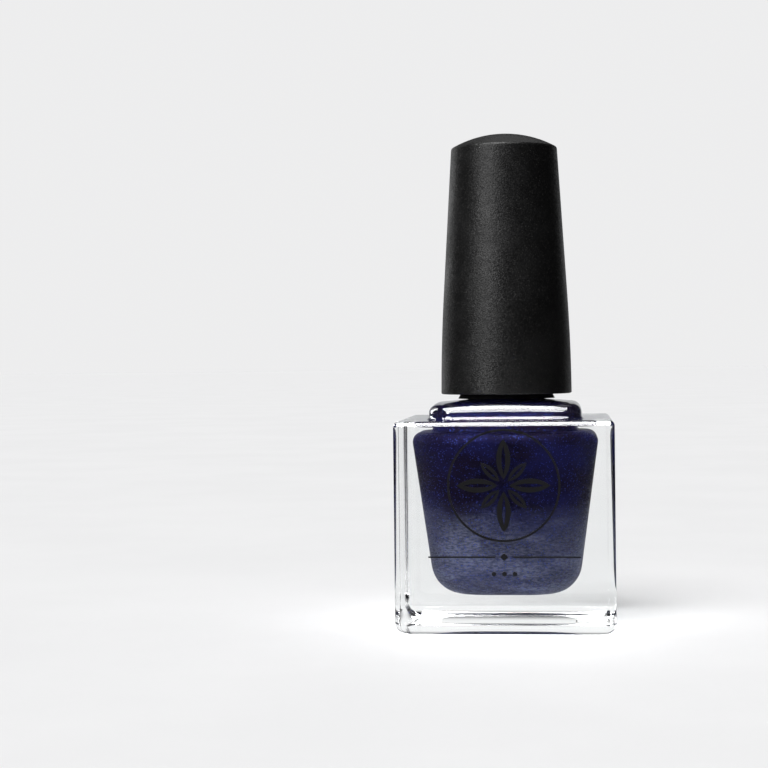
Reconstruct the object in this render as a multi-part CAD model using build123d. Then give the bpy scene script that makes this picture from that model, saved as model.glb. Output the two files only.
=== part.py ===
from build123d import *
import math
import os

# Square clear-glass nail polish bottle with a tall tapered brush cap.
#
# Millimetres, +Z up. The origin is the centre of the base, on the surface that the bottle stands
# on. The printed front face looks along -Y.
#
# The glass is one thick-walled piece: a rounded cube, a low square plinth on its top face and a
# round threaded neck. The cap is an outer shell pressed on a threaded inner cap, which holds the
# brush stem. The cap unscrews by 1.5 turns, rising one pitch a turn, and then lifts off.

# ---- driving dimensions -------------------------------------------------------------------
BODY_W = 34.1                # outside width and depth of the glass
BODY_H = 33.1                # base to the flat top face
BODY_CORNER_R = 1.0          # upright edges
BODY_TOP_R = 0.9
BODY_HEEL_R = 2.1
BASE_RECESS_W = 22.0         # shallow push-up in the underside
BASE_RECESS_CORNER_R = 3.0
BASE_RECESS_DEEP = 0.35

PLINTH_W = 24.2
PLINTH_H = 2.55              # at the middle of each side
PLINTH_CORNER_R = 4.6
PLINTH_TOP_R = 1.6
CROWN_R = 121.0              # the plinth's top is part of a large ball
CROWN_RISE = 0.35            # from the middle of a side to the foot of the inner cap
NECK_FOOT_R = 6.3            # cone that joins the plinth and the neck
NECK_FOOT_H = 0.6

NECK_R = 5.7                 # a 13-415 finish: 11.4 mm neck, 12.9 mm over the thread
NECK_BORE_R = 3.8
NECK_H = 11.45               # plinth top to rim
NECK_RIM_R = 0.6
THREAD_PITCH = 25.4 / 12
NECK_THREAD_R = 6.45
NECK_THREAD_BASE = 1.30
NECK_THREAD_CREST = 0.60
NECK_THREAD_TURNS = 1.4
NECK_THREAD_DOWN = 4.7       # rim to the middle of the thread's lower end

CAVITY_FLOOR = 5.5           # thickness of the glass under the polish
CAVITY_FLOOR_HALF = 11.3
CAVITY_FLOOR_CORNER_R = 8.5
CAVITY_FLOOR_EDGE_R = 5.0
CAVITY_TOP = 31.2
CAVITY_TOP_HALF = 14.8
CAVITY_TOP_CORNER_R = 9.5
CAVITY_SHOULDER_R = 1.6
RISER_HALF = 12.0            # square space that leads up inside the plinth
RISER_CORNER_R = 5.0
RISER_DRAFT = 25.0           # degrees, narrower at the top
RISER_TOP_R = 0.8
RISER_ROOF = 1.45            # thickness of glass over it

CAP_GAP = 3.9                # top face of the glass to the lower edge of the overcap
CAP_R = 10.58
CAP_WAIST_R = 10.05          # where the straight taper starts
CAP_WAIST_UP = 15.8
CAP_TOP_R = 8.58
CAP_SIDE_H = 39.8
CAP_DOME_H = 2.3
CAP_EDGE_R = 0.5
CAP_MOUTH_R = 0.25
CAP_WALL = 1.4
CAP_ROOF = 0.9
CAP_LIP_H = 1.6              # plain band inside the mouth, below the ribs
CAP_RIBS = 8
CAP_RIB_T = 0.9
CAP_RIB_REACH = 4.2          # inner radius of the ribs above the inner cap
CAP_RIB_DOWN = 12.0          # shoulder to the upper end of the ribs

INNER_CAP_R = 7.35
INNER_CAP_FOOT_R = 7.85
INNER_CAP_FOOT_H = 0.9
INNER_CAP_BORE_R = 6.6
INNER_CAP_ROOF = 1.3
INNER_CAP_EDGE = 0.4
INNER_CAP_LIFT = 0.25        # gap between its foot and the plinth
INNER_THREAD_R = 5.85
INNER_THREAD_BASE = 1.20
INNER_THREAD_CREST = 0.50
INNER_THREAD_TURNS = 1.25
SPLINE_DEEP = 0.3
SPLINE_END_GAP = 0.3         # groove's lower end below the rib's
SNAP_R = 6.1                 # bead that holds the stem's flange
SNAP_H = 0.5

LINER_R = 5.6                # inside the thread of the inner cap, which rises past it
LINER_T = 0.5
GASKET_R = 5.9
GASKET_T = 1.0
FLANGE_R = 6.45
FLANGE_T = 1.1
STEM_R = 1.9
STEM_PLAIN_H = 8.0           # straight part that the liner slides on
STEM_TIP_R = 1.5
STEM_TAIL = 21.5             # rim to the stem's lower end
STEM_CHAMFER = 0.25
SOCKET_R = 1.15
SOCKET_DEEP = 4.0
SOCKET_END_GAP = 0.1         # above the folded bristles
TUFT_LENGTH = 15.2
TUFT_HALF_W = 2.1
TUFT_HALF_T = 1.15
STAPLE_W = 2.1
STAPLE_T = 0.45
STAPLE_H = 1.0

POLISH_LEVEL = 32.7          # height of the liquid's surface
BRUSH_CLEARANCE = 0.3        # round the bristles in the liquid
BALL_R = 2.0
BALL_REST_X = 2.15
BALL_TRAVEL = 3.4

PRINT_T = 0.08
RING_R = 8.7
RING_STROKE = 0.34
RING_UP = 23.2               # ring centre above the base
LEAVES = 8
LEAF_LONG = 7.2
LEAF_SHORT = 5.0
LEAF_START = 0.9             # root of each leaf from the rosette's centre
LEAF_SLIM = 0.34             # width over length
VEIN_LONG = 0.72             # slit in a leaf, as shares of the leaf's length
VEIN_WIDE = 0.09
VEIN_START = 0.12
WIDEST_AT = 0.45
RULE_UP = 12.2
RULE_W = 23.4
RULE_T = 0.24
RULE_BREAK = 1.4             # half of the break in the rule's middle
DIAMOND = 0.9
DOTS_UP = 9.6
DOT_R = 0.36
DOT_STEP = 1.6

FIT = 0.05                   # gap between pieces that rest on each other but can part
RUNNING = 0.10               # radial clearance of a piece that slides on another
PRESS = 0.02                 # gap between pieces that are pressed or moulded together
ROOT_BITE = 0.15             # how far a thread's root starts inside the wall that carries it

# ---- heights that follow ------------------------------------------------------------------
PLINTH_TOP = BODY_H + PLINTH_H
RIM = PLINTH_TOP + NECK_H
RISER_TOP = PLINTH_TOP - RISER_ROOF
CAP_LOW = BODY_H + CAP_GAP
CAP_SHOULDER = CAP_LOW + CAP_SIDE_H
LINER_LOW = RIM + FIT
GASKET_LOW = LINER_LOW + LINER_T + FIT
FLANGE_LOW = GASKET_LOW + GASKET_T + FIT
ROOF_LOW = FLANGE_LOW + FLANGE_T + PRESS
ROOF_TOP = ROOF_LOW + INNER_CAP_ROOF
CROWN_TOP = PLINTH_TOP + CROWN_RISE
SKIRT_LOW = CROWN_TOP + INNER_CAP_LIFT
THREAD_LOW = RIM - NECK_THREAD_DOWN
STEM_LOW = RIM - STEM_TAIL
SOCKET_TOP = STEM_LOW + SOCKET_DEEP
STAPLE_MID = SOCKET_TOP - SOCKET_END_GAP - STAPLE_H / 2


# ---- shared shapes ------------------------------------------------------------------------
def rounded_square(half, corner, height):
    return Plane.XY.offset(height) * RectangleRounded(2 * half, 2 * half, corner)


def square_block(half, corner, low, high, draft=0.0):
    """Upright rounded block that narrows upwards by the draft angle."""
    return extrude(rounded_square(half, corner, low), amount=high - low, taper=draft)


def disc(radius, low, high):
    return Pos(0, 0, low) * Cylinder(radius, high - low, align=(Align.CENTER, Align.CENTER, Align.MIN))


def washer(radius, hole, low, thick):
    return disc(radius, low, low + thick) - disc(hole, low - 1, low + thick + 1)


def turned(points):
    """Solid of revolution from the (radius, height) corners of its half section."""
    return revolve(Plane.XZ * make_face(Polyline(*points, close=True)), Axis.Z)


def edges_at(shape, height):
    """Level edges of a shape at one height."""
    return shape.edges().filter_by_position(Axis.Z, height - 0.01, height + 0.01)


def thread_ridge(root_r, crest_r, base, crest, turns, low):
    """Right-hand helical ridge of trapezoid section, starting on the +X side."""
    path = Helix(pitch=THREAD_PITCH, height=THREAD_PITCH * turns, radius=root_r)
    section = Plane.XZ * make_face(Polyline(
        (root_r, -base / 2), (crest_r, -crest / 2), (crest_r, crest / 2), (root_r, base / 2), close=True))
    return Pos(0, 0, low) * sweep(section, path=path, is_frenet=True)


# ---- bottle -------------------------------------------------------------------------------
def cavity(gap=0.0):
    """Space inside the glass below the neck, smaller all round by the gap."""
    floor = CAVITY_FLOOR + gap
    top = CAVITY_TOP - gap
    chamber = loft([
        rounded_square(CAVITY_FLOOR_HALF - gap, CAVITY_FLOOR_CORNER_R - gap, floor),
        rounded_square(CAVITY_TOP_HALF - gap, CAVITY_TOP_CORNER_R - gap, top),
    ], ruled=True)
    chamber = fillet(edges_at(chamber, floor), CAVITY_FLOOR_EDGE_R - gap)
    chamber = fillet(edges_at(chamber, top), CAVITY_SHOULDER_R - gap)
    riser_top = RISER_TOP - gap
    riser = square_block(RISER_HALF - gap, RISER_CORNER_R, CAVITY_TOP - 1, riser_top, RISER_DRAFT)
    riser = fillet(edges_at(riser, riser_top), RISER_TOP_R)
    return chamber + riser


def crowned_plinth():
    """Square plinth whose top rises in a shallow dome towards the neck."""
    ball_up = PLINTH_TOP - math.sqrt(CROWN_R ** 2 - (PLINTH_W / 2) ** 2)
    plinth = square_block(PLINTH_W / 2, PLINTH_CORNER_R, BODY_H - 1, PLINTH_TOP + 2)
    plinth &= Pos(0, 0, ball_up) * Sphere(CROWN_R)
    rim = plinth.edges().filter_by(lambda edge: edge.center().Z > BODY_H + 1)
    return fillet(rim, PLINTH_TOP_R)


def glass_bottle():
    body = square_block(BODY_W / 2, BODY_CORNER_R, 0, BODY_H)
    body = fillet(edges_at(body, BODY_H), BODY_TOP_R)
    body = fillet(edges_at(body, 0), BODY_HEEL_R)
    foot_top = CROWN_TOP + NECK_FOOT_H
    foot = turned([(0, BODY_H), (NECK_FOOT_R, BODY_H), (NECK_FOOT_R, CROWN_TOP), (NECK_R, foot_top),
                   (0, foot_top)])
    neck = fillet(edges_at(disc(NECK_R, PLINTH_TOP, RIM), RIM), NECK_RIM_R)
    thread = thread_ridge(NECK_R - ROOT_BITE, NECK_THREAD_R, NECK_THREAD_BASE, NECK_THREAD_CREST,
                          NECK_THREAD_TURNS, THREAD_LOW)
    recess = square_block(BASE_RECESS_W / 2, BASE_RECESS_CORNER_R, -1, BASE_RECESS_DEEP)
    bore = disc(NECK_BORE_R, RISER_TOP - 0.5, RIM + 1)
    return body + crowned_plinth() + foot + neck + thread - recess - cavity() - bore


def brush_space():
    """Round channel in the liquid that the brush stands in, and turns and lifts through."""
    return disc(TUFT_HALF_W + BRUSH_CLEARANCE, STEM_LOW - TUFT_LENGTH - BRUSH_CLEARANCE, PLINTH_TOP)


def ball_space():
    """Track in the liquid, on the floor, that the two mixing balls roll along."""
    side = 2 * (BALL_R + RUNNING)
    reach = 2 * (BALL_REST_X + BALL_TRAVEL) + side
    return extrude(Plane.XY.offset(CAVITY_FLOOR) * SlotOverall(reach, side), amount=side)


def polish():
    air = square_block(BODY_W, 1, POLISH_LEVEL, PLINTH_TOP)
    return cavity(FIT) - air - brush_space() - ball_space()


def mixing_ball(side):
    return Pos(side * BALL_REST_X, 0, CAVITY_FLOOR + BALL_R + FIT) * Sphere(BALL_R)


# ---- printed decoration -------------------------------------------------------------------
def printed(sketch, up):
    """A flat shape as a thin layer of ink on the front face, centred at a height."""
    front = Plane(origin=(0, -BODY_W / 2, up), x_dir=(1, 0, 0), z_dir=(0, -1, 0))
    return extrude(front * sketch, amount=PRINT_T)


def leaf(length):
    """Pointed leaf that stands on the origin, with a slit for its vein."""
    def outline(long, wide, start):
        widest = start + long * WIDEST_AT
        right = ThreePointArc((0, start), (wide / 2, widest), (0, start + long))
        left = ThreePointArc((0, start + long), (-wide / 2, widest), (0, start))
        return make_face(right + left)
    slit = outline(length * VEIN_LONG, length * VEIN_WIDE, length * VEIN_START)
    return outline(length, length * LEAF_SLIM, 0) - slit


def front_print():
    """Ring round a plain rosette of leaves, with a broken rule and three dots under it."""
    layers = [printed(Circle(RING_R) - Circle(RING_R - RING_STROKE), RING_UP)]
    for n in range(LEAVES):
        length = LEAF_SHORT if n % 2 else LEAF_LONG
        placed = Rot(0, 0, n * 360 / LEAVES) * Pos(0, LEAF_START) * leaf(length - LEAF_START)
        layers.append(printed(placed, RING_UP))
    half_rule = RULE_W / 2 - RULE_BREAK
    for side in (-1, 1):
        layers.append(printed(Pos(side * (RULE_BREAK + half_rule / 2), 0) * Rectangle(half_rule, RULE_T),
                              RULE_UP))
    layers.append(printed(Rot(0, 0, 45) * Rectangle(DIAMOND, DIAMOND), RULE_UP))
    for n in (-1, 0, 1):
        layers.append(printed(Pos(n * DOT_STEP, 0) * Circle(DOT_R), DOTS_UP))
    return Compound(children=[solid for layer in layers for solid in layer.solids()])


# ---- cap ----------------------------------------------------------------------------------
def tapered_round(inset, low, high):
    """Solid that follows the cap's side from low to high, moved inwards by the inset."""
    waist_up = CAP_LOW + CAP_WAIST_UP
    slope = (CAP_WAIST_R - CAP_TOP_R) / (CAP_SHOULDER - waist_up)
    waist = (CAP_WAIST_R - inset, waist_up)
    top = (waist[0] - slope * (high - waist_up), high)
    foot = (CAP_R - inset, low)
    side = Line(top, waist) + TangentArc(waist, foot, tangent=(slope, -1))
    ends = Line(foot, (0, low)) + Line((0, low), (0, high)) + Line((0, high), top)
    return revolve(Plane.XZ * make_face(side + ends), Axis.Z)


def dome():
    """Shallow ball-shaped top that meets the side in an edge."""
    ball_r = (CAP_TOP_R ** 2 + CAP_DOME_H ** 2) / (2 * CAP_DOME_H)
    ball = Pos(0, 0, CAP_SHOULDER + CAP_DOME_H - ball_r) * Sphere(ball_r)
    return ball & disc(CAP_R, CAP_SHOULDER, CAP_SHOULDER + CAP_DOME_H)


def overcap():
    """Outer shell. Its inside ribs fit the inner cap's grooves and stop on its roof."""
    outside = fillet(edges_at(tapered_round(0, CAP_LOW, CAP_SHOULDER) + dome(), CAP_SHOULDER), CAP_EDGE_R)
    outside = fillet(edges_at(outside, CAP_LOW), CAP_MOUTH_R)
    ceiling = CAP_SHOULDER - CAP_ROOF
    shell = outside - tapered_round(CAP_WALL, CAP_LOW - PRESS, ceiling)
    root = tapered_round(CAP_WALL / 2, CAP_LOW, ceiling)
    key_r = INNER_CAP_R - SPLINE_DEEP + PRESS
    stop = ROOF_TOP + PRESS
    rib = rib_bar(key_r, CAP_LOW + CAP_LIP_H, stop)
    rib += rib_bar(CAP_RIB_REACH, stop, CAP_SHOULDER - CAP_RIB_DOWN)
    for n in range(CAP_RIBS):
        shell += Rot(0, 0, n * 360 / CAP_RIBS) * rib & root
    return shell


def rib_bar(inner_r, low, high):
    """Upright bar on the +X side, from an inner radius out past the shell's wall."""
    return Pos((inner_r + CAP_R) / 2, 0, (low + high) / 2) * Box(CAP_R - inner_r, CAP_RIB_T, high - low)


def inner_cap():
    """Threaded cup. Its flared foot shows as the dark band under the overcap."""
    snap_top = FLANGE_LOW - PRESS
    cup = turned([
        (0, ROOF_LOW), (INNER_CAP_BORE_R, ROOF_LOW), (INNER_CAP_BORE_R, snap_top), (SNAP_R, snap_top),
        (SNAP_R, snap_top - SNAP_H / 2), (INNER_CAP_BORE_R, snap_top - SNAP_H),
        (INNER_CAP_BORE_R, SKIRT_LOW), (INNER_CAP_FOOT_R, SKIRT_LOW),
        (INNER_CAP_R, SKIRT_LOW + INNER_CAP_FOOT_H), (INNER_CAP_R, ROOF_TOP - INNER_CAP_EDGE),
        (INNER_CAP_R - INNER_CAP_EDGE, ROOF_TOP), (0, ROOF_TOP)])
    groove_low = CAP_LOW + CAP_LIP_H - SPLINE_END_GAP
    groove_h = ROOF_TOP + 1 - groove_low
    groove = Pos(INNER_CAP_R, 0, groove_low + groove_h / 2) * Box(
        2 * SPLINE_DEEP, CAP_RIB_T + 2 * PRESS, groove_h)
    for n in range(CAP_RIBS):
        cup -= Rot(0, 0, n * 360 / CAP_RIBS) * groove
    thread = thread_ridge(INNER_CAP_BORE_R + ROOT_BITE, INNER_THREAD_R, INNER_THREAD_BASE,
                          INNER_THREAD_CREST, INNER_THREAD_TURNS, THREAD_LOW - THREAD_PITCH / 2)
    return cup + thread


def brush_stem():
    """Flanged rod with a socket for the bristles in its lower end."""
    rod = turned([
        (0, FLANGE_LOW + FLANGE_T), (FLANGE_R, FLANGE_LOW + FLANGE_T), (FLANGE_R, FLANGE_LOW),
        (STEM_R, FLANGE_LOW), (STEM_R, FLANGE_LOW - STEM_PLAIN_H), (STEM_TIP_R, STEM_LOW + STEM_CHAMFER),
        (STEM_TIP_R - STEM_CHAMFER, STEM_LOW), (0, STEM_LOW)])
    return rod - disc(SOCKET_R, STEM_LOW - 1, SOCKET_TOP)


def bristles():
    """The whole bundle as one closed form: round in the socket, a flat oval below it."""
    round_r = SOCKET_R - PRESS
    root = disc(round_r, STEM_LOW, SOCKET_TOP - SOCKET_END_GAP)
    ovals = [(0.0, round_r, round_r), (0.5, 0.9 * TUFT_HALF_W, TUFT_HALF_T),
             (0.85, TUFT_HALF_W, 0.85 * TUFT_HALF_T), (1.0, 0.6 * TUFT_HALF_W, 0.4 * TUFT_HALF_T)]
    tuft = loft([Plane.XY.offset(STEM_LOW - down * TUFT_LENGTH) * Ellipse(wide, thick)
                 for down, wide, thick in ovals])
    slot = Pos(0, 0, STAPLE_MID) * Box(2 * SOCKET_R, STAPLE_T + 2 * PRESS, STAPLE_H + 2 * PRESS)
    return root + tuft - slot


def bristle_staple():
    """Metal clip that the bristles are folded over in the stem's socket."""
    return Pos(0, 0, STAPLE_MID) * Box(STAPLE_W, STAPLE_T, STAPLE_H)


# ---- one file for each piece --------------------------------------------------------------
PIECES = {
    "glass_bottle": glass_bottle(),
    "polish": polish(),
    "front_print": front_print(),
    "mixing_ball_left": mixing_ball(-1),
    "mixing_ball_right": mixing_ball(1),
    "rim_liner": washer(LINER_R, STEM_R + RUNNING, LINER_LOW, LINER_T),
    "gasket": washer(GASKET_R, STEM_R + RUNNING, GASKET_LOW, GASKET_T),
    "overcap": overcap(),
    "inner_cap": inner_cap(),
    "brush_stem": brush_stem(),
    "bristle_staple": bristle_staple(),
    "bristles": bristles(),
}

os.makedirs("parts", exist_ok=True)
for name, piece in PIECES.items():
    export_step(piece, f"parts/{name}.step")
    print(name, "solids", len(piece.solids()), "volume", round(piece.volume, 1))
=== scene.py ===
import math
import random

import bpy
from mathutils import Matrix, Vector, noise


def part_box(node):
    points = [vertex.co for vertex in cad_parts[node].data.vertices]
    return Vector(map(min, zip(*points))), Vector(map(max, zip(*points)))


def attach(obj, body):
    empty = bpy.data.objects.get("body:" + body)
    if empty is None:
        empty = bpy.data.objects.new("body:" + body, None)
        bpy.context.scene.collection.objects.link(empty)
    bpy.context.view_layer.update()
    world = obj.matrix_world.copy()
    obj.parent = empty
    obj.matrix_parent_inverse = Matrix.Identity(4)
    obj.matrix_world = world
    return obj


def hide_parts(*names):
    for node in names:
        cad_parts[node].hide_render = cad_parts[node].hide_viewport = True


# Square clear-glass nail polish bottle with a tapered brush cap. The CAD model is the frame: this
# script adds the moulded glass, the lacquer, the brush hair and all the finishes, and a plain studio.
# Lengths are written in millimetres and turned into metres where a mesh is made.

MM = 0.001

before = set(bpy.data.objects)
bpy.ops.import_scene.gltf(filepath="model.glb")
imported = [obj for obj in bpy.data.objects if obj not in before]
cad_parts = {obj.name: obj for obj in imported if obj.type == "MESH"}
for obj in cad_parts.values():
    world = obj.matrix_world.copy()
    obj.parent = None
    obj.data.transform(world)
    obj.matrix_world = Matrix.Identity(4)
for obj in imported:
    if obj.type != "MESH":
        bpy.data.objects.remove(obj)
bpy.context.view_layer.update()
random.seed(15)


def node_span(name):
    """Lowest and highest corner of a CAD node, in millimetres."""
    low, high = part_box(name)
    return low / MM, high / MM


glass_high = node_span("glass_bottle")[1]
polish_low, polish_high = node_span("polish")
hair_low = node_span("bristles")[0]
stem_low = node_span("brush_stem")[0]

# ---- sizes --------------------------------------------------------------------------------
RIM = glass_high.z
PLINTH_TOP = RIM - 11.45
BODY_TOP = PLINTH_TOP - 2.55
BODY_HALF = glass_high.x
BODY_FLAT = BODY_HALF - 1.0      # half length of the straight part of a side
BODY_TOP_R = 0.9
BODY_HEEL_R = 2.1
PLINTH_HALF = 12.1
PLINTH_FLAT = 7.5
PLINTH_EDGE_R = 1.6
CROWN_R = 121.0                  # the plinth's top is a shallow dome
NECK_FOOT_R = 6.3
NECK_R = 5.7
BORE_R = 3.8
FLOOR = polish_low.z - 0.05
FLOOR_HALF = 11.3
FLOOR_FLAT = 2.8
SHOULDER = 31.2
SHOULDER_HALF = 14.8
SHOULDER_FLAT = 5.3
RISER_HALF = 11.53               # at the shoulder
RISER_TOP = PLINTH_TOP - 1.45
RISER_TOP_HALF = 10.13
RISER_FLAT = 7.0
THREAD_PITCH = 25.4 / 12
THREAD_TURNS = 1.4
THREAD_LOW = RIM - 4.7
THREAD_H = 0.75
SHARPEST = 0.7                   # smallest radius of a ring's corners
BASE_RECESS_HALF = 11.0
BASE_RECESS_DEEP = 0.35
SHOULDER_R = 1.6                 # inside, between the chamber's walls and its top
FLOOR_EDGE_R = 5.0
RISER_TOP_R = 0.8
RIM_R = 0.6
FILM_T = 0.12                    # lacquer that clings to the glass above the liquid
FILM_UP = 3.6                    # how far up the neck it reaches, from the plinth's top
HAIR_COUNT = 360
LACQUER_BITE = 0.03              # how far the lacquer reaches into the glass, so that it wets it


# ---- lofted forms -------------------------------------------------------------------------
FLAT_STEPS = (0.0, 0.14, 0.28, 0.42, 0.56, 0.70, 0.84, 0.985)
ARC_STEPS = 10
ROUND_SHARE = math.radians(28)


def quarter_ring(half, flat):
    """(x, y, angle) of the points from the middle of one side to just before the middle of the next."""
    corner = half - flat
    points = [(half, step * flat, step * ROUND_SHARE) for step in FLAT_STEPS]
    for n in range(ARC_STEPS + 1):
        share = n / ARC_STEPS
        turn = share * math.pi / 2
        angle = ROUND_SHARE + share * (math.pi / 2 - 2 * ROUND_SHARE)
        points.append((flat + corner * math.cos(turn), flat + corner * math.sin(turn), angle))
    for step in reversed(FLAT_STEPS[1:]):
        points.append((step * flat, half, math.pi / 2 - step * ROUND_SHARE))
    return points


def ring(half, height, flat, roundness, bulge=None):
    """Ring of points: a rounded square at roundness 0, a circle at 1, in between a mixture.

    Rings are level, apart from those on the plinth's crown, whose corners dip with the dome.
    """
    flat = min(flat, max(half - SHARPEST, 0.9 * half))
    dip = min(max((height - PLINTH_TOP) / PLINTH_EDGE_R + 1, 0.0), 1.0) / (2 * CROWN_R)
    points = []
    for quarter in range(4):
        start = quarter * math.pi / 2
        for x, y, angle in quarter_ring(half, flat):
            radius = half + (bulge(angle + start, height, half) if bulge else 0.0)
            circle = Vector((radius * math.cos(angle), radius * math.sin(angle)))
            point = Vector((x, y)).lerp(circle, roundness)
            drop = dip * (point.length_squared - radius * radius)
            point.rotate(Matrix.Rotation(start, 2))
            points.append((point.x, point.y, height - drop))
    return points


def rounded_outline(corners, bend_steps=9):
    """Half section through corners given as (half, height, radius, flat, roundness, run steps).

    Each corner is rounded to its radius. The last value is how many steps the straight run to the
    next corner is cut into. A close extra step beside each bend keeps the flat parts flat.
    """
    bends = []
    for n, (half, height, radius, *_rest) in enumerate(corners):
        here = Vector((half, height))
        if n in (0, len(corners) - 1) or not radius:
            bends.append([here])
            continue
        to_last = (Vector(corners[n - 1][:2]) - here).normalized()
        to_next = (Vector(corners[n + 1][:2]) - here).normalized()
        opening = to_last.angle(to_next)
        reach = radius / math.tan(opening / 2)
        middle = here + (to_last + to_next).normalized() * radius / math.sin(opening / 2)
        start = here + to_last * reach - middle
        sweep = (here + to_next * reach - middle).angle_signed(start)
        bends.append([middle + Matrix.Rotation(sweep * k / bend_steps, 2) @ start
                      for k in range(bend_steps + 1)])
    stations = []
    for n, bend in enumerate(bends):
        flat, roundness, steps = corners[n][3:6]
        stations += [(p.x, p.y, flat, roundness) for p in bend]
        if n == len(bends) - 1:
            break
        begin, end = bend[-1], bends[n + 1][0]
        length = (end - begin).length
        beside = min(0.06, length / 5) / length
        shares = [beside] + [k / steps for k in range(1, steps)] + [1 - beside]
        next_flat, next_roundness = corners[n + 1][3:5]
        for share in shares:
            p = begin.lerp(end, share)
            stations.append((p.x, p.y, flat + share * (next_flat - flat),
                             roundness + share * (next_roundness - roundness)))
    return stations


def skin(rings):
    """Points and faces of a closed form over level rings, capped at both ends."""
    count = len(rings[0])
    points = [p for r in rings for p in r]
    faces = [tuple(reversed(range(count)))]
    for row in range(len(rings) - 1):
        base = row * count
        for n in range(count):
            m = (n + 1) % count
            faces.append((base + n, base + m, base + count + m, base + count + n))
    faces.append(tuple(range((len(rings) - 1) * count, len(rings) * count)))
    return points, faces


def new_piece(name, points, faces, material, body, stands_for=()):
    """Smooth mesh piece from points in millimetres, riding on a CAD body."""
    mesh = bpy.data.meshes.new(name)
    mesh.from_pydata([Vector(p) * MM for p in points], [], faces)
    mesh.validate()
    mesh.polygons.foreach_set("use_smooth", [True] * len(mesh.polygons))
    mesh.materials.append(material)
    mesh.update()
    piece = bpy.data.objects.new(name, mesh)
    bpy.context.scene.collection.objects.link(piece)
    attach(piece, body)
    if stands_for:
        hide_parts(*stands_for)
    return piece


# ---- node helpers -------------------------------------------------------------------------
def node(tree, kind, settings=None, inputs=None):
    """New shader node. An input is a value, or another node's output to link."""
    made = tree.nodes.new(kind)
    for name, value in (settings or {}).items():
        setattr(made, name, value)
    for name, value in (inputs or {}).items():
        if isinstance(value, bpy.types.NodeSocket):
            tree.links.new(value, made.inputs[name])
        else:
            made.inputs[name].default_value = value
    return made


def math_node(tree, operation, *values, clamp=False):
    return node(tree, "ShaderNodeMath", {"operation": operation, "use_clamp": clamp},
                dict(enumerate(values))).outputs[0]


def blend_colour(tree, share, first, second, mode="MIX"):
    made = node(tree, "ShaderNodeMix", {"data_type": "RGBA", "blend_type": mode},
                {0: share, 6: first, 7: second})
    return made.outputs[2]


def spread(tree, value, low, high, to_low=0.0, to_high=1.0):
    """Maps a value's range low to high onto another, with soft ends."""
    return node(tree, "ShaderNodeMapRange", {"interpolation_type": "SMOOTHSTEP"},
                {0: value, 1: low, 2: high, 3: to_low, 4: to_high}).outputs[0]


def millimetres(tree, stretch=(1.0, 1.0, 1.0)):
    """The piece's own coordinates in millimetres, with a stretch for directional patterns."""
    place = node(tree, "ShaderNodeTexCoord").outputs["Object"]
    scale = tuple(s / MM for s in stretch)
    return node(tree, "ShaderNodeVectorMath", {"operation": "MULTIPLY"}, {0: place, 1: scale}).outputs[0]


def noise_value(tree, where, scale, detail=3.0, roughness=0.55):
    return node(tree, "ShaderNodeTexNoise", None,
                {"Vector": where, "Scale": scale, "Detail": detail, "Roughness": roughness}).outputs[0]


def new_group(name, inputs, outputs):
    """Empty node group with named inputs (name, kind, value) and outputs (name, kind)."""
    group = bpy.data.node_groups.new(name, "ShaderNodeTree")
    for label, kind, value in inputs:
        socket = group.interface.new_socket(label, in_out="INPUT", socket_type=kind)
        socket.default_value = value
    for label, kind in outputs:
        group.interface.new_socket(label, in_out="OUTPUT", socket_type=kind)
    return group, group.nodes.new("NodeGroupInput").outputs, group.nodes.new("NodeGroupOutput").inputs


def use_group(tree, group, inputs=None):
    made = tree.nodes.new("ShaderNodeGroup")
    made.node_tree = group
    for name, value in (inputs or {}).items():
        if isinstance(value, bpy.types.NodeSocket):
            tree.links.new(value, made.inputs[name])
        else:
            made.inputs[name].default_value = value
    return made.outputs


def new_material(name, settings):
    """Material with one Principled shader. Settings that never vary go on its own sockets."""
    material = bpy.data.materials.new(name)
    material.use_nodes = True
    tree = material.node_tree
    shader = tree.nodes["Principled BSDF"]
    for label, value in settings.items():
        shader.inputs[label].default_value = value
    return material, tree, shader.inputs


def bump(tree, height, strength, depth, normal=None):
    """Normal from a height, with the depth of the relief in millimetres."""
    inputs = {"Height": height, "Strength": strength, "Distance": depth * MM}
    if normal:
        inputs["Normal"] = normal
    return node(tree, "ShaderNodeBump", None, inputs).outputs[0]


# ---- shared effects -----------------------------------------------------------------------
def make_grain():
    """Moulded texture: Height for the relief, Speck for its brighter points."""
    group, given, result = new_group(
        "moulded_grain",
        [("Size", "NodeSocketFloat", 0.2), ("Unevenness", "NodeSocketFloat", 0.5)],
        [("Height", "NodeSocketFloat"), ("Speck", "NodeSocketFloat")])
    where = millimetres(group)
    scale = math_node(group, "DIVIDE", 1.0, given["Size"])
    fine = noise_value(group, where, scale, 2.0)
    cells = node(group, "ShaderNodeTexVoronoi", {"feature": "SMOOTH_F1"},
                 {"Vector": where, "Scale": scale}).outputs["Distance"]
    height = node(group, "ShaderNodeMix", {"data_type": "FLOAT"},
                  {0: given["Unevenness"], 2: fine, 3: cells}).outputs[0]
    group.links.new(height, result["Height"])
    group.links.new(spread(group, noise_value(group, where, scale, 4.0), 0.58, 0.72), result["Speck"])
    return group


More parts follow.
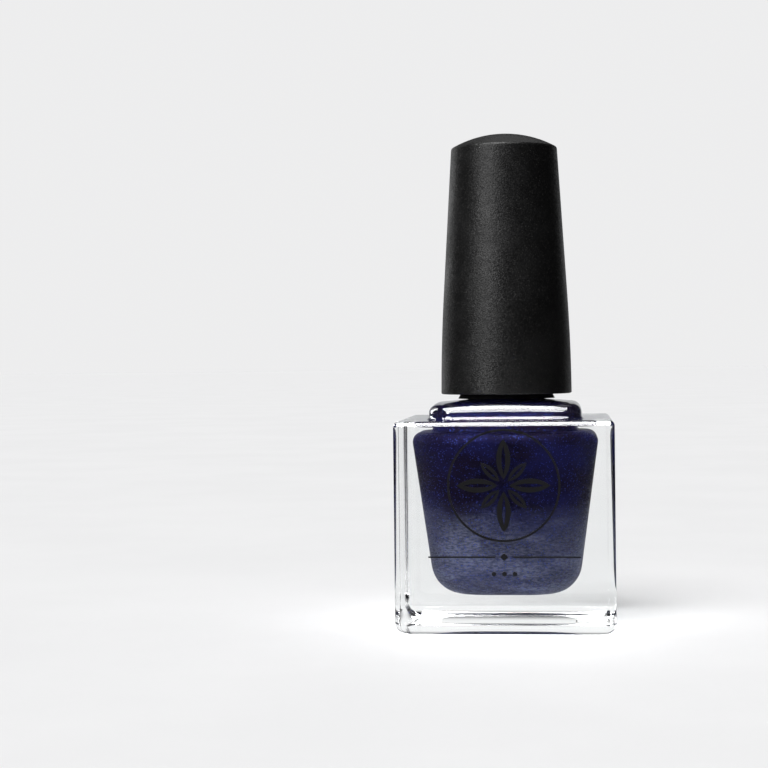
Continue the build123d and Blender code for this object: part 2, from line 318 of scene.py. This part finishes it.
def make_handling():
    """Slow variation from fingers, dust and rubbing: Smudge runs 0 to 1, Dust is sparse."""
    group, given, result = new_group(
        "handling", [("Size", "NodeSocketFloat", 6.0)],
        [("Smudge", "NodeSocketFloat"), ("Dust", "NodeSocketFloat")])
    where = millimetres(group)
    scale = math_node(group, "DIVIDE", 1.0, given["Size"])
    group.links.new(spread(group, noise_value(group, where, scale, 5.0, 0.6), 0.35, 0.65), result["Smudge"])
    dots = node(group, "ShaderNodeTexVoronoi", None, {"Vector": where, "Scale": 1.6})
    near = math_node(group, "LESS_THAN", dots.outputs["Distance"], 0.075)
    few = math_node(group, "GREATER_THAN", noise_value(group, where, 0.9, 1.0), 0.56)
    group.links.new(math_node(group, "MULTIPLY", near, few), result["Dust"])
    return group


def make_shimmer():
    """Mica flakes: Tone and Glint vary from flake to flake, Normal tilts each one a little."""
    group, given, result = new_group(
        "shimmer",
        [("Flake", "NodeSocketFloat", 0.1), ("Tilt", "NodeSocketFloat", 0.3),
         ("Share", "NodeSocketFloat", 0.1)],
        [("Tone", "NodeSocketFloat"), ("Glint", "NodeSocketFloat"), ("Normal", "NodeSocketVector")])
    where = millimetres(group)
    scale = math_node(group, "DIVIDE", 1.0, given["Flake"])
    flake = node(group, "ShaderNodeTexVoronoi", None, {"Vector": where, "Scale": scale})
    parts = node(group, "ShaderNodeSeparateColor", None, {0: flake.outputs["Color"]}).outputs
    group.links.new(parts[0], result["Tone"])
    limit = math_node(group, "SUBTRACT", 1.0, given["Share"])
    group.links.new(math_node(group, "GREATER_THAN", parts[1], limit), result["Glint"])
    centred = node(group, "ShaderNodeVectorMath", {"operation": "SUBTRACT"},
                   {0: flake.outputs["Color"], 1: (0.5, 0.5, 0.5)}).outputs[0]
    tilted = node(group, "ShaderNodeVectorMath", {"operation": "SCALE"},
                  {0: centred, "Scale": given["Tilt"]}).outputs[0]
    surface = node(group, "ShaderNodeNewGeometry").outputs["Normal"]
    total = node(group, "ShaderNodeVectorMath", {"operation": "ADD"}, {0: surface, 1: tilted}).outputs[0]
    level = node(group, "ShaderNodeVectorMath", {"operation": "NORMALIZE"}, {0: total}).outputs[0]
    group.links.new(level, result["Normal"])
    return group


GRAIN = make_grain()
HANDLING = make_handling()
SHIMMER = make_shimmer()

NAVY_DEEP = (0.0018, 0.0011, 0.0050, 1)
NAVY_BLUE = (0.0032, 0.0038, 0.0270, 1)
NAVY_VIOLET = (0.0072, 0.0050, 0.0190, 1)
GLINT = (0.020, 0.030, 0.150, 1)
# Pale blue-grey painted low in the lacquer: a painted reflection of the pale floor, not a colour of the
# lacquer.
PAINTED_FLOOR_REFLECTION = (0.068, 0.075, 0.118, 1)


# ---- finishes -----------------------------------------------------------------------------
def clear_glass():
    """Fire-polished glass with slow ripples, a little dust and a stippled standing ring."""
    material, tree, shader = new_material("clear_glass", {
        "IOR": 1.51, "Transmission Weight": 1.0, "Metallic": 0.0})
    handled = use_group(tree, HANDLING, {"Size": 9.0})
    where = millimetres(tree)
    tint = blend_colour(tree, handled["Smudge"], (0.985, 0.995, 0.993, 1), (0.965, 0.985, 0.985, 1))
    tree.links.new(tint, shader["Base Color"])
    smudged = spread(tree, handled["Smudge"], 0.2, 1.0, 0.0, 0.012)
    dusty = math_node(tree, "MULTIPLY", handled["Dust"], 0.08)
    tree.links.new(math_node(tree, "ADD", smudged, dusty), shader["Roughness"])
    ripple = noise_value(tree, where, 0.16, 2.0)
    height = node(tree, "ShaderNodeSeparateXYZ", None, {0: where}).outputs[2]
    under = spread(tree, height, 0.05, 0.4, 1.0, 0.0)
    dots = node(tree, "ShaderNodeTexVoronoi", {"feature": "SMOOTH_F1"}, {"Vector": where, "Scale": 1.4})
    stipple = math_node(tree, "MULTIPLY", spread(tree, dots.outputs["Distance"], 0.1, 0.45), under)
    relief = math_node(tree, "ADD", math_node(tree, "MULTIPLY", ripple, 0.5), stipple)
    tree.links.new(bump(tree, relief, 0.25, 0.06), shader["Normal"])
    lit = node(tree, "ShaderNodeBsdfTransparent", None, {"Color": (0.86, 0.87, 0.87, 1)}).outputs[0]
    lamps = node(tree, "ShaderNodeLightPath").outputs["Is Shadow Ray"]
    both = node(tree, "ShaderNodeMixShader", None, {0: lamps, 1: tree.nodes["Principled BSDF"].outputs[0],
                                                    2: lit}).outputs[0]
    tree.links.new(both, tree.nodes["Material Output"].inputs["Surface"])
    return material


def lacquer_in_glass():
    """The lacquer as the glass shows it: dark navy, blue and violet flakes, and paler low down, where a
    painted reflection of the pale floor lies on it.
    """
    material, tree, shader = new_material("lacquer_in_glass", {
        "IOR": 1.12, "Specular IOR Level": 0.2})
    where = millimetres(tree)
    height = node(tree, "ShaderNodeSeparateXYZ", None, {0: where}).outputs[2]
    fine = use_group(tree, SHIMMER, {"Flake": 0.15, "Tilt": 0.3, "Share": 0.3})
    bright = use_group(tree, SHIMMER, {"Flake": 0.12, "Tilt": 0.8, "Share": 0.05})
    swirl = noise_value(tree, millimetres(tree, (0.8, 0.8, 1.5)), 0.13, 3.0, 0.5)
    # Below a wavering height of 15 to 24 mm the lacquer is painted paler, streaked and patchy: a painted
    # reflection of the pale floor.
    drift = noise_value(tree, millimetres(tree, (0.5, 0.5, 1.6)), 0.35, 4.0)
    wavering = math_node(tree, "ADD", height, math_node(tree, "MULTIPLY", drift, 5.0))
    low_reflection_zone = spread(tree, wavering, 15.0, 24.0, 1.0, 0.0)
    wrinkle = noise_value(tree, millimetres(tree, (1.0, 1.0, 3.2)), 1.3, 4.0, 0.65)
    patches = noise_value(tree, millimetres(tree, (0.7, 0.7, 1.6)), 0.16, 2.0)
    base = blend_colour(tree, spread(tree, swirl, 0.40, 0.63), NAVY_DEEP, NAVY_BLUE)
    base = blend_colour(tree, math_node(tree, "MULTIPLY", fine["Tone"], 0.5), base, NAVY_VIOLET)
    reflection_streaks = spread(tree, wrinkle, 0.34, 0.66, 0.35, 0.95)
    reflection_patchiness = spread(tree, patches, 0.40, 0.60, 1.0, 0.6)
    painted_reflection = math_node(tree, "MULTIPLY", math_node(tree, "MULTIPLY", low_reflection_zone, reflection_streaks), reflection_patchiness)
    base = blend_colour(tree, painted_reflection, base, PAINTED_FLOOR_REFLECTION)
    base = blend_colour(tree, bright["Glint"], base, GLINT)
    tree.links.new(base, shader["Base Color"])
    metal = math_node(tree, "MAXIMUM", bright["Glint"], math_node(tree, "MULTIPLY", fine["Tone"], 0.6))
    tree.links.new(metal, shader["Metallic"])
    tree.links.new(spread(tree, fine["Tone"], 0.0, 1.0, 0.35, 0.5), shader["Roughness"])
    creases = math_node(tree, "MULTIPLY", wrinkle, low_reflection_zone)
    tree.links.new(bump(tree, creases, 0.5, 0.2, fine["Normal"]), shader["Normal"])
    return material


def wet_lacquer():
    """The same lacquer in the open air, with a glossy wet skin."""
    material, tree, shader = new_material("wet_lacquer", {
        "IOR": 1.48, "Coat IOR": 1.48, "Coat Roughness": 0.04})
    flakes = use_group(tree, SHIMMER, {"Flake": 0.09, "Tilt": 0.5, "Share": 0.12})
    tone = blend_colour(tree, flakes["Tone"], NAVY_DEEP, NAVY_BLUE)
    tree.links.new(blend_colour(tree, flakes["Glint"], tone, GLINT), shader["Base Color"])
    tree.links.new(flakes["Glint"], shader["Metallic"])
    tree.links.new(spread(tree, flakes["Tone"], 0.0, 1.0, 0.18, 0.3), shader["Roughness"])
    runs = noise_value(tree, millimetres(tree, (1.0, 1.0, 0.35)), 0.8, 3.0)
    tree.links.new(spread(tree, runs, 0.3, 0.6, 0.7, 1.0), shader["Coat Weight"])
    tree.links.new(bump(tree, runs, 0.4, 0.15), shader["Normal"])
    return material


def soft_black():
    """Fine-grained matte black, a little shinier where fingers rub it."""
    material, tree, shader = new_material("soft_black", {"IOR": 1.45})
    grain = use_group(tree, GRAIN, {"Size": 0.2, "Unevenness": 0.5})
    facets = use_group(tree, SHIMMER, {"Flake": 0.15, "Tilt": 0.2})
    handled = use_group(tree, HANDLING, {"Size": 8.0})
    black = blend_colour(tree, handled["Smudge"], (0.0016, 0.0016, 0.0017, 1), (0.0026, 0.0026, 0.0028, 1))
    # Pale specks in the black: partly the moulding's own grain, partly painted glints standing in for the
    # sparkle of its grain.
    black = blend_colour(tree, grain["Speck"], black, (0.030, 0.029, 0.027, 1))
    dusty = math_node(tree, "MULTIPLY", handled["Dust"], 0.25)
    black = blend_colour(tree, dusty, black, (0.12, 0.12, 0.12, 1))
    tree.links.new(black, shader["Base Color"])
    rubbed = spread(tree, handled["Smudge"], 0.0, 1.0, 0.42, 0.50)
    uneven = spread(tree, grain["Height"], 0.2, 0.8, -0.07, 0.07)
    tree.links.new(math_node(tree, "ADD", rubbed, uneven), shader["Roughness"])
    tree.links.new(bump(tree, grain["Height"], 0.7, 0.07, facets["Normal"]), shader["Normal"])
    return material


def moulded_black(name, tone, shine, grain_size):
    """Plain black moulding with faint flow marks."""
    material, tree, shader = new_material(name, {"IOR": 1.49})
    grain = use_group(tree, GRAIN, {"Size": grain_size, "Unevenness": 0.2})
    handled = use_group(tree, HANDLING, {"Size": 4.0})
    lighter = tuple(1.7 * c for c in tone[:3]) + (1,)
    tree.links.new(blend_colour(tree, handled["Smudge"], tone, lighter), shader["Base Color"])
    tree.links.new(spread(tree, handled["Smudge"], 0.0, 1.0, shine, shine + 0.12), shader["Roughness"])
    tree.links.new(bump(tree, grain["Height"], 0.2, 0.03), shader["Normal"])
    return material


def coated_stem():
    """Black moulded rod. Its lower part stands in the lacquer and stays coated with it."""
    material, tree, shader = new_material("coated_stem", {"IOR": 1.49})
    flakes = use_group(tree, SHIMMER, {"Flake": 0.09, "Tilt": 0.3, "Share": 0.12})
    handled = use_group(tree, HANDLING, {"Size": 3.0})
    where = millimetres(tree)
    height = node(tree, "ShaderNodeSeparateXYZ", None, {0: where}).outputs[2]
    runs = noise_value(tree, millimetres(tree, (1.0, 1.0, 0.25)), 0.9, 3.0)
    edge = math_node(tree, "ADD", height, math_node(tree, "MULTIPLY", runs, 7.0))
    coated = spread(tree, edge, polish_high.z + 3.4, polish_high.z + 4.2, 1.0, 0.0)
    plain = blend_colour(tree, handled["Smudge"], (0.008, 0.008, 0.008, 1), (0.014, 0.014, 0.014, 1))
    lacquer = blend_colour(tree, flakes["Tone"], NAVY_DEEP, NAVY_BLUE)
    tree.links.new(blend_colour(tree, coated, plain, lacquer), shader["Base Color"])
    tree.links.new(math_node(tree, "MULTIPLY", coated, flakes["Glint"]), shader["Metallic"])
    tree.links.new(spread(tree, coated, 0.0, 1.0, 0.38, 0.12), shader["Roughness"])
    tree.links.new(math_node(tree, "MULTIPLY", coated, 0.9), shader["Coat Weight"])
    tree.links.new(bump(tree, runs, 0.3, 0.1), shader["Normal"])
    return material


def hair():
    """Black nylon filaments, stained blue where the lacquer clings."""
    material, tree, shader = new_material("nylon_hair", {"IOR": 1.53, "Coat Roughness": 0.08})
    streak = noise_value(tree, millimetres(tree, (1.0, 1.0, 0.06)), 3.0, 3.0)
    flakes = use_group(tree, SHIMMER, {"Flake": 0.08, "Tilt": 0.3, "Share": 0.15})
    black = blend_colour(tree, streak, (0.006, 0.006, 0.007, 1), (0.025, 0.024, 0.028, 1))
    stain = blend_colour(tree, flakes["Tone"], NAVY_DEEP, NAVY_BLUE)
    cling = spread(tree, streak, 0.3, 0.55)
    tree.links.new(blend_colour(tree, cling, black, stain), shader["Base Color"])
    tree.links.new(math_node(tree, "MULTIPLY", flakes["Glint"], cling), shader["Metallic"])
    tree.links.new(spread(tree, streak, 0.2, 0.8, 0.2, 0.42), shader["Roughness"])
    tree.links.new(math_node(tree, "MULTIPLY", cling, 0.8), shader["Coat Weight"])
    return material


def print_ink():
    """Black screen ink: dense, faintly uneven, with tiny pinholes of a lighter tone."""
    material, tree, shader = new_material("print_ink", {"IOR": 1.5, "Specular IOR Level": 0.3})
    grain = use_group(tree, GRAIN, {"Size": 0.12, "Unevenness": 0.3})
    ink = blend_colour(tree, grain["Speck"], (0.007, 0.007, 0.0075, 1), (0.022, 0.022, 0.024, 1))
    tree.links.new(ink, shader["Base Color"])
    tree.links.new(spread(tree, grain["Height"], 0.2, 0.8, 0.3, 0.45), shader["Roughness"])
    tree.links.new(bump(tree, grain["Height"], 0.2, 0.02), shader["Normal"])
    return material


def seal_plastic(name, colour, cell, relief):
    """Pale polyethylene, smooth or foamed by the size of its cells."""
    material, tree, shader = new_material(name, {"IOR": 1.5, "Subsurface Weight": 0.15,
                                                 "Subsurface Scale": 0.0006})
    grain = use_group(tree, GRAIN, {"Size": cell, "Unevenness": 0.9})
    shade = tuple(0.8 * c for c in colour[:3]) + (1,)
    tree.links.new(blend_colour(tree, grain["Speck"], colour, shade), shader["Base Color"])
    tree.links.new(spread(tree, grain["Height"], 0.1, 0.7, 0.4, 0.65), shader["Roughness"])
    tree.links.new(bump(tree, grain["Height"], 0.5, relief), shader["Normal"])
    return material


def bright_metal(name, colour, roughness):
    """Polished or drawn metal with fine scratches."""
    material, tree, shader = new_material(name, {"Metallic": 1.0})
    scratch = noise_value(tree, millimetres(tree, (0.4, 3.0, 9.0)), 2.0, 4.0, 0.7)
    dull = tuple(0.8 * c for c in colour[:3]) + (1,)
    tree.links.new(blend_colour(tree, spread(tree, scratch, 0.5, 0.7), colour, dull), shader["Base Color"])
    tree.links.new(spread(tree, scratch, 0.3, 0.7, roughness, roughness + 0.12), shader["Roughness"])
    tree.links.new(bump(tree, scratch, 0.1, 0.02), shader["Normal"])
    return material


def studio_floor():
    material, tree, shader = new_material("studio_floor", {"Specular IOR Level": 0.25})
    grain = use_group(tree, HANDLING, {"Size": 60.0})
    tone = blend_colour(tree, grain["Smudge"], (0.83, 0.83, 0.835, 1), (0.85, 0.85, 0.855, 1))
    tree.links.new(tone, shader["Base Color"])
    shader["Roughness"].default_value = 0.65
    return material


# ---- pieces made here ---------------------------------------------------------------------
def thread_relief(angle, height, half):
    """How far the moulded thread stands out of the neck, with soft ends to its run."""
    if half < BORE_R + 1:
        return 0.0
    relief = 0.0
    for lap in range(2):
        turned = (angle % (2 * math.pi)) + 2 * math.pi * lap
        if turned > 2 * math.pi * THREAD_TURNS:
            continue
        away = abs(height - THREAD_LOW - THREAD_PITCH * turned / (2 * math.pi))
        ridge = min(max((0.68 - away) / 0.40, 0.0), 1.0)
        ends = min(turned, 2 * math.pi * THREAD_TURNS - turned) / math.radians(24)
        fade = min(max(ends, 0.0), 1.0)
        relief = max(relief, THREAD_H * ridge * ridge * (3 - 2 * ridge) * fade * fade * (3 - 2 * fade))
    return relief


def moulded_glass():
    """The whole bottle as one closed form: outside, over the rim, and down the inside."""
    crown_top = PLINTH_TOP + (PLINTH_HALF ** 2 - NECK_FOOT_R ** 2) / (2 * CROWN_R)
    corners = [
        (0.5, BASE_RECESS_DEEP, 0, 0.3, 0, 4),
        (BASE_RECESS_HALF - 0.1, BASE_RECESS_DEEP, 0.12, 8.0, 0, 1),
        (BASE_RECESS_HALF + 0.15, 0.0, 0.12, 8.2, 0, 2),
        (BODY_HALF, 0.0, BODY_HEEL_R, BODY_FLAT, 0, 6),
        (BODY_HALF, BODY_TOP, BODY_TOP_R, BODY_FLAT, 0, 3),
        (PLINTH_HALF, BODY_TOP, 0.6, PLINTH_FLAT, 0, 1),
        (PLINTH_HALF, PLINTH_TOP, PLINTH_EDGE_R, PLINTH_FLAT, 0, 8),
        (NECK_FOOT_R, crown_top, 0.3, 4.0, 1, 1),
        (NECK_R, crown_top + 0.5, 0.3, 4.0, 1, 84),
        (NECK_R, RIM, RIM_R, 4.0, 1, 1),
        (BORE_R, RIM, 0.5, 3.0, 1, 4),
        (BORE_R, RISER_TOP, 0.5, 3.0, 1, 6),
        (RISER_TOP_HALF, RISER_TOP, RISER_TOP_R, RISER_FLAT, 0, 2),
        (RISER_HALF, SHOULDER, 0.5, RISER_FLAT, 0, 2),
        (SHOULDER_HALF, SHOULDER, SHOULDER_R, SHOULDER_FLAT, 0, 8),
        (FLOOR_HALF, FLOOR, FLOOR_EDGE_R, FLOOR_FLAT, 0, 3),
        (0.5, FLOOR, 0, 0.3, 0, 1),
    ]
    rings = [ring(*station, bulge=thread_relief) for station in rounded_outline(corners)]
    points, faces = skin(rings)
    return new_piece("moulded_glass", points, faces, clear_glass(), "bottle",
                     ["glass_bottle"])


def lacquer_fill():
    """The lacquer up to its surface, with the film that clings to the glass above it."""
    bite, film = LACQUER_BITE, FILM_T
    level = polish_high.z
    film_top = PLINTH_TOP + FILM_UP
    film_foot = RISER_TOP + 1    # above this height the film's edge wavers
    corners = [
        (0.5, FLOOR - bite, 0, 0.3, 0, 3),
        (FLOOR_HALF + bite, FLOOR - bite, FLOOR_EDGE_R, FLOOR_FLAT, 0, 8),
        (SHOULDER_HALF + bite, SHOULDER + bite, SHOULDER_R, SHOULDER_FLAT, 0, 2),
        (RISER_HALF + bite, SHOULDER + bite, 0.5, RISER_FLAT, 0, 2),
        (RISER_TOP_HALF + bite, RISER_TOP + bite, RISER_TOP_R, RISER_FLAT, 0, 6),
        (BORE_R + bite, RISER_TOP + bite, 0.45, 3.0, 1, 8),
        (BORE_R + bite, film_top, 0.04, 3.0, 1, 1),
        (BORE_R - film, film_top, 0.04, 3.0, 1, 8),
        (BORE_R - film, RISER_TOP - film, 0.45, 3.0, 1, 6),
        (RISER_TOP_HALF - film, RISER_TOP - film, RISER_TOP_R, RISER_FLAT, 0, 2),
        (RISER_HALF - 0.5, level, 0.15, RISER_FLAT, 0, 4),
        (0.5, level - 0.05, 0, 0.3, 0, 1),
    ]
    rings = [ring(*station) for station in rounded_outline(corners)]
    points, faces = skin(rings)
    wavered = []
    for x, y, z in points:
        if z > film_foot:
            share = (z - film_foot) / (film_top - film_foot)
            z += share * 1.3 * noise.noise(Vector((x * 0.27, y * 0.27, 3.0)))
        wavered.append((x, y, z))
    return new_piece("lacquer_fill", wavered, faces, lacquer_in_glass(), "bottle", ["polish"])


def brush_width(down):
    """Half width and half thickness of the brush, at a share of its length below the stem."""
    open_out = min(down / 0.55, 1.0)
    open_out = open_out * open_out * (3 - 2 * open_out)
    close = max((down - 0.8) / 0.2, 0.0) ** 2
    wide = (1.08 + 0.95 * open_out) * (1 - 0.30 * close)
    thick = 1.08 * (1 - 0.42 * close)
    return wide, thick


def brush_hair():
    """Filaments that leave the socket as a round bundle and open into a flat oval with a domed end."""
    sides, steps = 5, 12
    length = stem_low.z - hair_low.z
    root = stem_low.z + 1.0
    golden = math.pi * (3 - math.sqrt(5))
    points, faces = [], []
    for n in range(HAIR_COUNT):
        share = math.sqrt((n + 0.5) / HAIR_COUNT)
        u, v = share * math.cos(n * golden), share * math.sin(n * golden)
        radius = random.uniform(0.045, 0.06)
        own = length * (1 - 0.075 * u * u - 0.03 * random.random())
        stray = random.uniform(-0.07, 0.07), random.uniform(-0.06, 0.06)
        base = len(points)
        for k in range(steps + 1):
            z = root - (own + 1.0) * k / steps
            down = max((stem_low.z - z) / length, 0.0)
            wide, thick = brush_width(down)
            x = (wide - 0.06) * u + stray[0] * down
            y = (thick - 0.06) * v + stray[1] * down
            thin = radius * (0.55 if k == steps else 1.0)
            for side in range(sides):
                turn = 2 * math.pi * side / sides
                points.append((x + thin * math.cos(turn), y + thin * math.sin(turn), z))
        for k in range(steps):
            for side in range(sides):
                a, b = base + k * sides + side, base + k * sides + (side + 1) % sides
                faces.append((a, a + sides, b + sides, b))
        faces.append(tuple(base + side for side in range(sides)))
        faces.append(tuple(base + steps * sides + side for side in reversed(range(sides))))
    return new_piece("brush_hair", points, faces, hair(), "cap", ["bristles"])


def wet_core():
    """Lacquer held between the filaments, which makes the brush hang together when wet."""
    length = stem_low.z - hair_low.z
    rings = []
    for k in range(25):
        down = 0.955 * k / 24
        wide, thick = brush_width(down)
        tip = math.sqrt(max(1 - (down / 0.975) ** 14, 0.02))
        level = stem_low.z - down * length
        loop = []
        for n in range(40):
            turn = 2 * math.pi * n / 40
            ripple = 0.84 + 0.05 * noise.noise(Vector((math.cos(turn) * 3, math.sin(turn) * 3, level * 0.25)))
            loop.append((wide * tip * ripple * math.cos(turn), thick * tip * ripple * math.sin(turn), level))
        rings.append(loop)
    points, faces = skin(rings)
    return new_piece("wet_core", points, faces, wet_lacquer(), "cap")


# ---- studio -------------------------------------------------------------------------------
# name, azimuth and elevation in degrees, then distance, width and height in millimetres, and watts
BOTTLE_LAMPS = (
    ("softbox", -36, 23, 640, 130, 430, 2.1),
    ("rim", -138, 16, 700, 300, 420, 0.45),
    ("rear_top", 172, 52, 600, 380, 260, 0.2),
)
GLASS_LAMPS = (                  # seen only as reflections in the glass
    ("sky", 0, 58, 500, 1000, 960, 52.0),
    ("edge", -125, 20, 700, 240, 520, 4.0),
    ("front", -36, 20, 640, 130, 450, 3.0),
)
AIM_HEIGHT = 40                  # where the lamps point, on the bottle's axis


def studio():
    """Plain pale floor without an edge in view, and soft light from above and from the left."""
    reach = 6000                 # half the floor's width
    points = [(-reach, -reach, 0), (reach, -reach, 0), (reach, reach, 0), (-reach, reach, 0)]
    mesh = bpy.data.meshes.new("floor")
    mesh.from_pydata([Vector(p) * MM for p in points], [], [(0, 1, 2, 3)])
    mesh.materials.append(studio_floor())
    floor = bpy.data.objects.new("floor", mesh)
    floor.visible_glossy = False
    bpy.context.scene.collection.objects.link(floor)

    sun = bpy.data.lights.new("overhead", "SUN")
    sun.energy = 3.7
    sun.angle = math.radians(34)
    place_light(sun, azimuth=-25, elevation=66, distance=900)
    pieces = [obj for obj in bpy.data.objects if obj.type == "MESH" and obj != floor]
    for settings in BOTTLE_LAMPS:
        only_on(panel(*settings), pieces)
    for settings in GLASS_LAMPS:
        lamp = panel(*settings)
        lamp.visible_transmission = False
        only_on(lamp, [glass])


def panel(name, azimuth, elevation, distance, width, height, watts):
    """Rectangular softbox."""
    light = bpy.data.lights.new(name, "AREA")
    light.shape = "RECTANGLE"
    light.size = width * MM
    light.size_y = height * MM
    light.energy = watts
    return place_light(light, azimuth, elevation, distance)


def place_light(light, azimuth, elevation, distance):
    """Aims a light at the bottle. Azimuth is measured from the front, positive to the right."""
    flat = math.cos(math.radians(elevation))
    turn = math.radians(azimuth)
    away = Vector((flat * math.sin(turn), -flat * math.cos(turn), math.sin(math.radians(elevation))))
    aim = Vector((0, 0, AIM_HEIGHT * MM))
    lamp = bpy.data.objects.new(light.name, light)
    lamp.location = aim + away * distance * MM
    lamp.rotation_euler = (-away).to_track_quat("-Z", "Y").to_euler()
    lamp.visible_camera = False
    bpy.context.scene.collection.objects.link(lamp)
    return lamp


def only_on(lamp, pieces):
    """Keeps a lamp's light to some pieces, so that the floor stays even."""
    lit = bpy.data.collections.new(lamp.name + "_lights")
    for piece in pieces:
        lit.objects.link(piece)
    lamp.light_linking.receiver_collection = lit


def studio_air():
    """Surroundings: pale to the eye and through glass, dim where they are only reflected."""
    world = bpy.data.worlds.new("studio_air")
    bpy.context.scene.world = world
    world.use_nodes = True
    tree = world.node_tree
    back = tree.nodes["Background"]
    way = node(tree, "ShaderNodeTexCoord").outputs["Generated"]
    parts = node(tree, "ShaderNodeSeparateXYZ", None, {0: way}).outputs
    steep = math_node(tree, "ABSOLUTE", parts[2])
    level = spread(tree, steep, 0.08, 0.4, 1.0, 0.0)
    behind = math_node(tree, "MULTIPLY", spread(tree, parts[1], 0.7, 0.97), level)
    mirrored = blend_colour(tree, behind, (0.02, 0.02, 0.021, 1), (0.6, 0.61, 0.62, 1))
    upwards = spread(tree, steep, 0.25, 0.6)
    through = blend_colour(tree, upwards, (1.0, 1.0, 1.005, 1), (0.35, 0.35, 0.355, 1))
    path = node(tree, "ShaderNodeLightPath").outputs
    colour = blend_colour(tree, path["Is Transmission Ray"], mirrored, through)
    colour = blend_colour(tree, path["Is Camera Ray"], colour, (0.85, 0.85, 0.855, 1))
    tree.links.new(colour, back.inputs["Color"])


def camera():
    """Level with the neck, a little to the right of straight on, with the bottle right of centre."""
    eye_height, distance = 43.0, 290.0
    from_right, turned_left, tipped_down, leaning = (math.radians(a) for a in (2.0, 3.94, 0.84, 0.67))
    lens = bpy.data.cameras.new("camera")
    lens.sensor_width = 36.0
    lens.lens = 83.27
    lens.clip_start = 0.01
    view = bpy.data.objects.new("camera", lens)
    view.location = Vector((distance * math.sin(from_right), -distance * math.cos(from_right),
                            eye_height)) * MM
    turn = Matrix.Rotation(from_right + turned_left, 3, "Z")
    tip = Matrix.Rotation(math.pi / 2 - tipped_down, 3, "X")
    lean = Matrix.Rotation(-leaning, 3, "Z")
    view.rotation_euler = (turn @ tip @ lean).to_euler()
    bpy.context.scene.collection.objects.link(view)
    bpy.context.scene.camera = view


# ---- assembly -----------------------------------------------------------------------------
def finish_node(name, material):
    """Gives a CAD node its finish."""
    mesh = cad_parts[name].data
    mesh.materials.clear()
    mesh.materials.append(material)


glass = moulded_glass()
lacquer_fill()
brush_hair()
wet_core()

steel = bright_metal("ball_steel", (0.62, 0.62, 0.64, 1), 0.12)
finish_node("front_print", print_ink())
finish_node("mixing_ball_left", steel)
finish_node("mixing_ball_right", steel)
finish_node("rim_liner", seal_plastic("liner_plastic", (0.80, 0.80, 0.77, 1), 0.35, 0.02))
finish_node("gasket", seal_plastic("gasket_foam", (0.76, 0.76, 0.74, 1), 0.16, 0.07))
finish_node("overcap", soft_black())
finish_node("inner_cap", moulded_black("inner_black", (0.0035, 0.0035, 0.0036, 1), 0.34, 0.3))
finish_node("brush_stem", coated_stem())
finish_node("bristle_staple", bright_metal("staple_wire", (0.62, 0.48, 0.26, 1), 0.25))

camera()
studio()
studio_air()
bpy.context.scene.view_settings.view_transform = "Standard"
